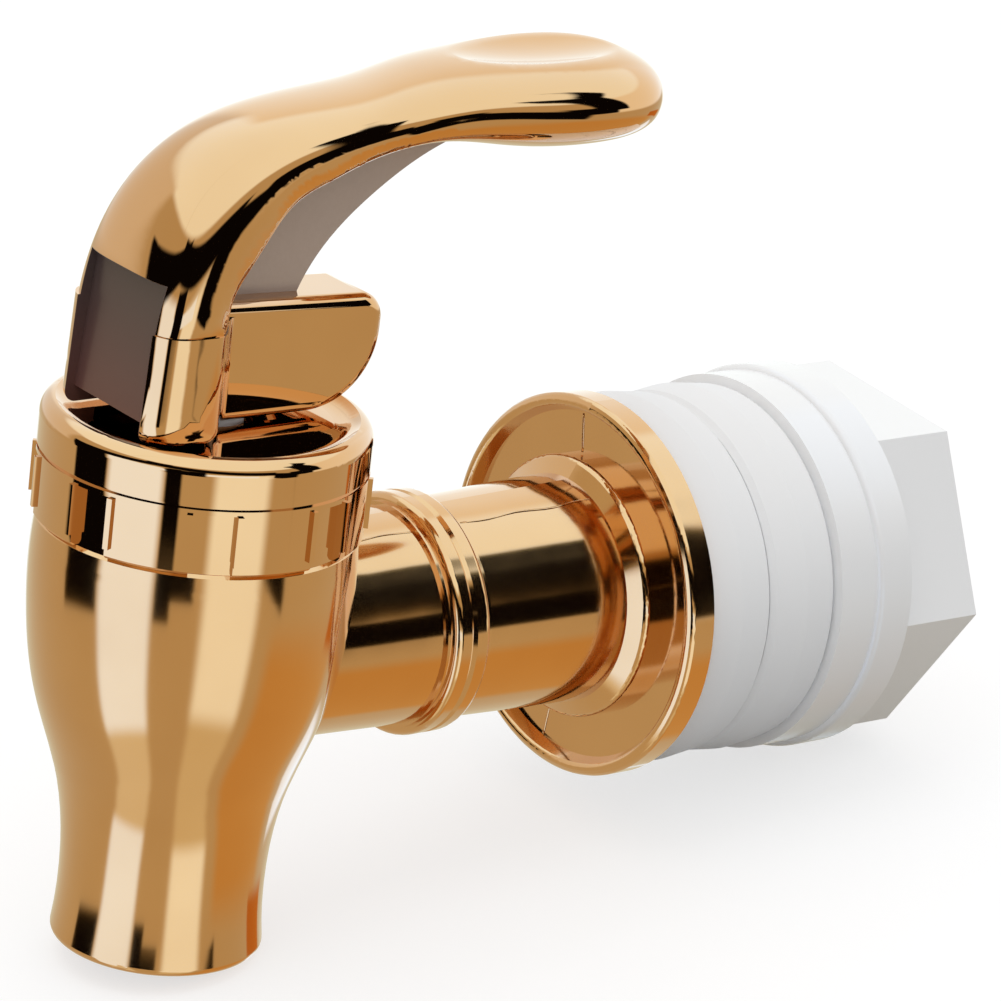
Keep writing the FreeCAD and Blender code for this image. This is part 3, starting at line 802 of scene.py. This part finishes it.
    def floor(self) -> None:
        """Lays the pale floor under the foot's edge on the nut's side and the nut's lowest corner."""
        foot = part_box("faucet_body")[0]
        nut_low, nut_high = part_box("hex_nut")
        touch_x = self.foot_edge_x * MM
        slope = math.atan2(nut_low.z - foot.z, nut_high.x - touch_x)
        mesh = bpy.data.meshes.new("studio_floor")
        half = self.floor_half
        corners = [(-half, -half, 0.0), (half, -half, 0.0), (half, half, 0.0), (-half, half, 0.0)]
        mesh.from_pydata(corners, [], [(0, 1, 2, 3)])
        floor = bpy.data.objects.new("studio_floor", mesh)
        floor.matrix_world = Matrix.Translation((touch_x, 0.0, foot.z)) @ Matrix.Rotation(-slope, 4, "Y")
        bpy.context.scene.collection.objects.link(floor)
        material = bpy.data.materials.new("studio_floor")
        material.use_nodes = True
        sheet = NodeSheet(material.node_tree)
        grey = (self.floor_tone, self.floor_tone, self.floor_tone, 1.0)
        cloth = sheet.node("ShaderNodeBsdfDiffuse", values={"Color": grey})
        glow = sheet.node("ShaderNodeEmission", values={"Strength": self.floor_glow})
        path = sheet.node("ShaderNodeLightPath")
        both = sheet.node("ShaderNodeAddShader", values={0: cloth.outputs[0], 1: glow.outputs[0]})
        seen = sheet.node(
            "ShaderNodeMixShader",
            values={0: path.outputs["Is Camera Ray"], 1: cloth.outputs[0], 2: both.outputs[0]},
        )
        sheet.node("ShaderNodeOutputMaterial", values={"Surface": seen.outputs[0]})
        mesh.materials.append(material)
        floor.visible_glossy = False

    def lamp(self) -> None:
        """Hangs one broad lamp over the object for the floor's soft shadow."""
        light = bpy.data.lights.new("overhead_box", "AREA")
        light.shape = "RECTANGLE"
        light.size, light.size_y = self.lamp_size
        light.energy = self.lamp_power
        lamp = bpy.data.objects.new("overhead_box", light)
        lamp.matrix_world = Matrix.Translation(self.lamp_place)
        lamp.visible_glossy = False
        bpy.context.scene.collection.objects.link(lamp)


def linked_regions(size: int, first: np.ndarray, second: np.ndarray) -> np.ndarray:
    """Numbers the groups of faces that are linked to each other.

    Args:
        size: how many faces there are.
        first: one face of each link.
        second: the other face of each link.

    Returns:
        The group's number for each face.
    """
    label = np.arange(size)
    while True:
        low = np.minimum(label[first], label[second])
        merged = label.copy()
        np.minimum.at(merged, first, low)
        np.minimum.at(merged, second, low)
        merged = merged[merged]
        if (merged == label).all():
            return label
        label = merged


def unit(vectors: np.ndarray) -> np.ndarray:
    """Vectors, one a row, brought to a length of one."""
    return vectors / (np.linalg.norm(vectors, axis=1, keepdims=True) + 1e-20)


def cosine(angle: float) -> float:
    """The cosine of an angle in degrees."""
    return math.cos(math.radians(angle))


@dataclass(frozen=True)
class Neighbours:
    """The nearest points of each point of a skin.

    Attributes:
        index: their numbers.
        offset: the way to each, in metres.
        distance: how far off each is.
        same_skin: whether each lies on the same side of the real edges.
    """

    index: np.ndarray
    offset: np.ndarray
    distance: np.ndarray
    same_skin: np.ndarray

    @classmethod
    def found(cls, places: np.ndarray, skins: np.ndarray, wanted: int) -> "Neighbours":
        """Looks up the nearest points of each point, itself among them.

        Args:
            places: the points.
            skins: the number of the skin that each lies on.
            wanted: how many are looked up.

        Returns:
            What was found.
        """
        tree = KDTree(len(places))
        for number, place in enumerate(places):
            tree.insert(place, number)
        tree.balance()
        wanted = min(wanted, len(places))
        index = np.array([[hit[1] for hit in tree.find_n(place, wanted)] for place in places])
        offset = places[index] - places[:, None, :]
        return cls(index, offset, np.linalg.norm(offset, axis=2), skins[index] == skins[:, None])

    def alike(self, normals: np.ndarray, angle: float) -> np.ndarray:
        """Which neighbours share the skin and face within this many degrees of the point's own normal."""
        return self.same_skin & (np.einsum("nkj,nj->nk", normals[self.index], normals) > cosine(angle))


@dataclass(frozen=True)
class MirrorShading:
    """Shades a finely cut mirror surface by the curved surface that its vertices lie on.

    A small curved sheet is fitted round each vertex, through its neighbours on the same side of the real
    edges.

    Attributes:
        real_edge: the angle between two faces that is an edge of the moulding, in degrees.
        level_edge: the angle up to which two faces lie in one plane.
        flat_area: how large a plane has to be to be shaded flat, in square metres.
        sheet_sizes: the smallest and the largest size of a fitted sheet, in metres.
        looked_up: how many neighbours are looked up.
        fitted: how many of them a sheet goes through.
        like_angle: how far a neighbour's normal may turn from the vertex's.
        fit_rounds: how often the sheets are fitted, each time on the last result.
        stiffness: what holds a sheet's six terms down where it has few neighbours.
        calm_rounds: how often stray normals are brought in line.
        stray_angle: how far a normal turns from its neighbours' mean before it is stray.
        corner_angle: how far a normal may turn from a face that it shades.
    """

    real_edge: float = 38.0
    level_edge: float = 0.06
    flat_area: float = 8e-6
    sheet_sizes: tuple[float, float] = (0.5 * MM, 1.6 * MM)
    looked_up: int = 44
    fitted: int = 26
    like_angle: float = 50.0
    fit_rounds: int = 3
    stiffness: tuple[float, ...] = (1e-4, 1e-4, 3e-3, 3e-3, 3e-3, 1e-4)
    calm_rounds: int = 2
    stray_angle: float = 7.0
    corner_angle: float = 65.0

    def part(self, faces: np.ndarray, weighted: np.ndarray) -> tuple[np.ndarray, np.ndarray]:
        """Parts the faces at the real edges, and finds the large planes.

        Args:
            faces: the three vertices of each face.
            weighted: each face's normal, twice as long as its area.

        Returns:
            The number of each face's skin, and whether the face lies in a large plane.
        """
        count = len(faces)
        area = np.linalg.norm(weighted, axis=1) / 2
        facing = unit(weighted)
        owner = np.repeat(np.arange(count), 3)
        sides = np.stack([faces, np.roll(faces, -1, axis=1)], axis=2)
        ends = np.sort(sides.reshape(-1, 2), axis=1)
        order = np.lexsort((ends[:, 1], ends[:, 0]))
        paired = (ends[order[1:]] == ends[order[:-1]]).all(axis=1)
        first, second = owner[order[:-1]][paired], owner[order[1:]][paired]
        bend = (facing[first] * facing[second]).sum(axis=1)
        soft = bend > cosine(self.real_edge)
        level = bend > cosine(self.level_edge)
        skin = linked_regions(count, first[soft], second[soft])
        plane = linked_regions(count, first[level], second[level])
        return skin, np.bincount(plane, area, minlength=count)[plane] > self.flat_area

    def fit(self, normals: np.ndarray, near: Neighbours) -> np.ndarray:
        """Fits a curved sheet round each point, on the plane that its normal gives.

        Args:
            normals: the points' normals so far.
            near: their neighbours.

        Returns:
            The normals of the sheets.
        """
        close = near.alike(normals, self.like_angle)
        ranked = np.sort(np.where(close, near.distance, np.inf), axis=1)
        filled = np.minimum(close.sum(axis=1), self.fitted) - 1
        span = np.clip(ranked[np.arange(len(normals)), filled], *self.sheet_sizes)
        weight = np.exp(-2.0 * (near.distance / span[:, None]) ** 2) * close
        upright = np.abs(normals[:, :1]) < 0.8  # far enough from X for a cross product with it
        helper = np.where(upright, [[1.0, 0.0, 0.0]], [[0.0, 1.0, 0.0]])
        across = unit(np.cross(normals, helper))
        along = np.cross(normals, across)
        scaled = near.offset / span[:, None, None]
        x, y, z = (np.einsum("nkj,nj->nk", scaled, side) for side in (across, along, normals))
        terms = np.stack([x, y, x * x, x * y, y * y, np.ones_like(x)], axis=2)
        system = np.einsum("nki,nk,nkj->nij", terms, weight, terms) + np.diag(self.stiffness)
        answer = np.einsum("nki,nk,nk->ni", terms, weight, z)
        slope = np.linalg.solve(system, answer[:, :, None])[:, :, 0]
        return unit(normals - slope[:, :1] * across - slope[:, 1:2] * along)

    def calm(self, normals: np.ndarray, near: Neighbours) -> np.ndarray:
        """Brings the stray normals in line with their neighbours.

        Args:
            normals: the points' normals so far.
            near: their neighbours.

        Returns:
            The normals, most of them as they were.
        """
        close = near.alike(normals, self.like_angle)
        share = np.exp(-((near.distance / self.sheet_sizes[0]) ** 2)) * close
        mean = unit(np.einsum("nk,nkj->nj", share, normals[near.index]))
        stray = (mean * normals).sum(axis=1) < cosine(self.stray_angle)
        return np.where(stray[:, None], mean, normals)

    def shade(self, mesh: bpy.types.Mesh) -> None:
        """Gives a mesh its normals.

        Args:
            mesh: a welded mesh of triangles.
        """
        count, total = len(mesh.polygons), len(mesh.vertices)
        corners = np.empty(count * 3, dtype=np.int64)
        mesh.loops.foreach_get("vertex_index", corners)
        places = np.empty(total * 3)
        mesh.vertices.foreach_get("co", places)
        places = places.reshape(-1, 3)
        faces = corners.reshape(count, 3)
        a, b, c = (places[faces[:, k]] for k in range(3))
        weighted = np.cross(b - a, c - a)
        facing = unit(weighted)
        skin, flat = self.part(faces, weighted)
        owner = np.repeat(np.arange(count), 3)
        keys, spot = np.unique(skin[owner] * total + corners, return_inverse=True)
        near = Neighbours.found(places[keys % total], keys // total, self.looked_up)
        normals = np.zeros((len(keys), 3))
        np.add.at(normals, spot, weighted[owner])
        normals = unit(normals)
        level = flat[owner]
        normals[spot[level]] = facing[owner[level]]
        fixed = np.zeros((len(keys), 1), dtype=bool)
        fixed[spot[level]] = True
        for step in [self.fit] * self.fit_rounds + [self.calm] * self.calm_rounds:
            normals = np.where(fixed, normals, step(normals, near))
        shading = normals[spot]
        astray = (shading * facing[owner]).sum(axis=1) < cosine(self.corner_angle)
        keep = level | astray
        shading[keep] = facing[owner[keep]]
        mesh.shade_smooth()
        mesh.normals_split_custom_set(shading.tolist())


@dataclass
class SubAssembly(ABC):
    """A group of pieces that belong together."""

    pieces: list[bpy.types.Object] = field(default_factory=list, init=False)

    def node(self, name: str, finish: Finish) -> None:
        """Takes a CAD node over with a better finish.

        Args:
            name: the node's name.
            finish: what it is coated with.
        """
        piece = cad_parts[name]
        finish.coat(piece)
        self.pieces.append(piece)

    def piece(self, mesh: bpy.types.Mesh, body: Body, finish: Finish) -> bpy.types.Object:
        """Adds a piece of the scene's own, named as its mesh is.

        Args:
            mesh: its mesh, in the row frame.
            body: the body that it rides on.
            finish: what it is coated with.

        Returns:
            The new object.
        """
        made = bpy.data.objects.new(mesh.name, mesh)
        bpy.context.scene.collection.objects.link(made)
        finish.coat(made)
        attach(made, body.value)
        self.pieces.append(made)
        return made

    def welded_twin(self, name: str, node: str) -> bpy.types.Mesh:
        """A new mesh with a CAD node's shape, in one skin of triangles.

        Args:
            name: the new mesh's name.
            node: the CAD node.

        Returns:
            The mesh.
        """
        skin = bmesh.new()
        skin.from_mesh(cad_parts[node].data)
        bmesh.ops.remove_doubles(skin, verts=skin.verts, dist=WELD)
        bmesh.ops.triangulate(skin, faces=skin.faces)
        mesh = bpy.data.meshes.new(name)
        skin.to_mesh(mesh)
        skin.free()
        mesh.materials.clear()
        return mesh

    @abstractmethod
    def build(self) -> None:
        """Makes and dresses the pieces."""

    def report(self) -> None:
        """Logs each piece with the number of its faces."""
        for piece in self.pieces:
            LOG.info("%s: %s with %d faces", type(self).__name__, piece.name, len(piece.data.polygons))


@dataclass(frozen=True)
class Ridge:
    """A thin raised line with a rounded top, such as a mould leaves.

    Attributes:
        width: its width, in metres.
        height: how far it stands proud; it goes as deep into the surface.
        sides: how many flats it has round it.
        blunt_ends: how much of a step's length its ends are cut back by, so that they aren't points.
        fullness: how soon it reaches its height; the lower, the sooner.
    """

    width: float
    height: float
    sides: int = 8
    blunt_ends: float = 0.35
    fullness: float = 0.3

    def mesh(self, name: str, line: Sequence[Vector], outward: Sequence[Vector]) -> bpy.types.Mesh:
        """Builds the ridge along a path on a surface.

        Args:
            name: the mesh's name.
            line: the path's points.
            outward: the surface's outward direction at each point.

        Returns:
            The mesh.
        """
        skin = bmesh.new()
        rings = []
        last = len(line) - 1
        for index, (point, out) in enumerate(zip(line, outward)):
            along = (line[min(index + 1, last)] - line[max(index - 1, 0)]).normalized()
            across = along.cross(out).normalized()
            share = (index + self.blunt_ends) / (last + 2 * self.blunt_ends)
            height = self.height * math.sin(math.pi * share) ** self.fullness
            ring = []
            for side in range(self.sides):
                turn = 2 * math.pi * side / self.sides
                offset = across * (math.cos(turn) * self.width / 2) + out * (math.sin(turn) * height)
                ring.append(skin.verts.new(point + offset))
            rings.append(ring)
        for first, second in zip(rings, rings[1:]):
            for side in range(self.sides):
                after = (side + 1) % self.sides
                skin.faces.new((first[side], first[after], second[after], second[side]))
        skin.faces.new(rings[0][::-1])
        skin.faces.new(rings[-1])
        bmesh.ops.recalc_face_normals(skin, faces=skin.faces)
        mesh = bpy.data.meshes.new(name)
        skin.to_mesh(mesh)
        skin.free()
        mesh.shade_smooth()
        return mesh


@dataclass
class SpoutBody(SubAssembly):
    """The one-piece spout, pipe, flange and shank, with the mould's parting lines.

    Attributes:
        pipe_radius_near: the pipe's radius where it leaves the spout, in millimetres.
        pipe_radius_far: its radius at the boss.
        pipe_near_x: where its taper starts, on the spout's axis.
        flange_face_x: where its taper ends, at the flange's front.
        seam_angle: how far round the pipe its parting line lies, in degrees up from the side that faces -Y.
        seam_sway: how far that line sways to either side, in degrees.
        sway_rate: how fast it sways, in radians a millimetre.
        seam_spans: where the line's two parts start and end along X, by name.
        dish_face_x: where the flange's sunk face lies.
        dish_radii: the radii between which that face is flat.
        dish_seams: how far round the face its parting lines lie, by name.
        pipe_ridge: the pipe's parting line.
        dish_ridge: the face's parting line.
    """

    pipe_radius_near: float = 8.75
    pipe_radius_far: float = 10.1
    pipe_near_x: float = -43.0
    flange_face_x: float = -2.3
    seam_angle: float = 69.0
    seam_sway: float = 0.8
    sway_rate: float = 0.9
    seam_spans: tuple[tuple[str, float, float], ...] = (("near", -31.5, -22.9), ("far", -18.3, -4.3))
    dish_face_x: float = -1.4
    dish_radii: tuple[float, float] = (11.75, 15.2)
    dish_seams: tuple[tuple[str, float], ...] = (("top", 98.0), ("foot", -98.0))
    pipe_ridge: Ridge = Ridge(0.22 * MM, 0.07 * MM)
    dish_ridge: Ridge = Ridge(0.3 * MM, 0.1 * MM)

    def pipe_line(self, start_x: float, end_x: float, steps: int = 14) -> tuple[list[Vector], list[Vector]]:
        """A line along the pipe's wall, where its parting line lies.

        Args:
            start_x: where it starts, in millimetres.
            end_x: where it ends.
            steps: how many parts it is cut into.

        Returns:
            Its points in metres and the outward directions.
        """
        points, outward = [], []
        for step in range(steps + 1):
            x = start_x + (end_x - start_x) * step / steps
            share = (x - self.pipe_near_x) / (self.flange_face_x - self.pipe_near_x)
            radius = self.pipe_radius_near + (self.pipe_radius_far - self.pipe_radius_near) * share
            turn = math.radians(self.seam_angle + self.seam_sway * math.sin(x * self.sway_rate))
            out = Vector((0.0, -math.cos(turn), math.sin(turn)))
            points.append(Vector((x, out.y * radius, out.z * radius)) * MM)
            outward.append(out)
        return points, outward

    def face_line(self, angle: float, steps: int = 8) -> tuple[list[Vector], list[Vector]]:
        """A line across the flange's sunk face, from the boss to the rim.

        Args:
            angle: how far round it lies, in degrees up from the side that faces -Y.
            steps: how many parts it is cut into.

        Returns:
            Its points in metres and the outward directions.
        """
        turn = math.radians(angle)
        outward = Vector((0.0, -math.cos(turn), math.sin(turn)))
        low, high = self.dish_radii
        radii = [low + (high - low) * step / steps for step in range(steps + 1)]
        points = [(Vector((self.dish_face_x, 0.0, 0.0)) + outward * radius) * MM for radius in radii]
        return points, [Vector((-1.0, 0.0, 0.0))] * len(points)

    def build(self) -> None:
        """Coats the moulding and lays the parting lines."""
        satin = RoseGoldPlate("rose_gold_body", polish=0.10)
        self.node("faucet_body", satin)
        for name, start_x, end_x in self.seam_spans:
            seam = self.pipe_ridge.mesh(f"seam_{name}", *self.pipe_line(start_x, end_x))
            self.piece(seam, Body.HOUSING, satin)
        for name, angle in self.dish_seams:
            seam = self.dish_ridge.mesh(f"seam_{name}", *self.face_line(angle))
            self.piece(seam, Body.HOUSING, satin)


@dataclass
class Bonnet(SubAssembly):
    """The screwed cap and what it clamps."""

    def build(self) -> None:
        """Coats the cap, the guide and the seals."""
        self.node("bonnet_cap", RoseGoldPlate("rose_gold_cap", polish=0.03))
        self.node("bonnet_gasket", SoftSilicone())
        self.node("stem_seal", SoftSilicone())
        self.node("stem_guide", NaturalPlastic())


@dataclass
class PressLever(SubAssembly):
    """The one-piece lever.

    Attributes:
        shading: how its mirror surface is shaded.
    """

    shading: MirrorShading = MirrorShading()

    def build(self) -> None:
        """Makes the lever with clean reflections in the CAD node's place, and coats it."""
        mesh = self.welded_twin("lever_moulding", "lever")
        self.shading.shade(mesh)
        moulding = self.piece(mesh, Body.HANDLE, LeverPlate("rose_gold_lever", polish=0.03))
        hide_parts("lever")


@dataclass
class Valve(SubAssembly):
    """The stem, its plug and the spring that closes it.

    Attributes:
        stroke: how far the stem lifts, in metres; not used.
    """

    stroke: float = 3.76 * MM

    def build(self) -> None:
        """Coats the valve's parts and makes a copy of the spring that rides on the swivel body."""
        self.node("plunger_stem", NaturalPlastic())
        self.node("thrust_washer", NaturalPlastic())
        self.node("seat_plug", SoftSilicone())
        mesh = self.welded_twin("spring_coil", "return_spring")
        mesh.shade_smooth()
        coil = self.piece(mesh, Body.SWIVEL, SpringSteel())
        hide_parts("return_spring")
        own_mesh(coil)


@dataclass
class ClampSet(SubAssembly):
    """The two soft washers and the nut behind the flange."""

    def build(self) -> None:
        """Coats the washers and the nut."""
        self.node("outer_washer", SoftSilicone())
        self.node("inner_washer", SoftSilicone())
        self.node("hex_nut", NaturalPlastic())


def main() -> None:
    """Builds the studio and the sub-assemblies in order and reports each piece."""
    logging.basicConfig(level=logging.INFO, format="%(message)s")
    studio = Studio()
    studio.camera()
    studio.tent()
    studio.floor()
    studio.lamp()
    for assembly in (SpoutBody(), Bonnet(), PressLever(), Valve(), ClampSet()):
        assembly.build()
        assembly.report()


if __name__ == "__main__":
    main()
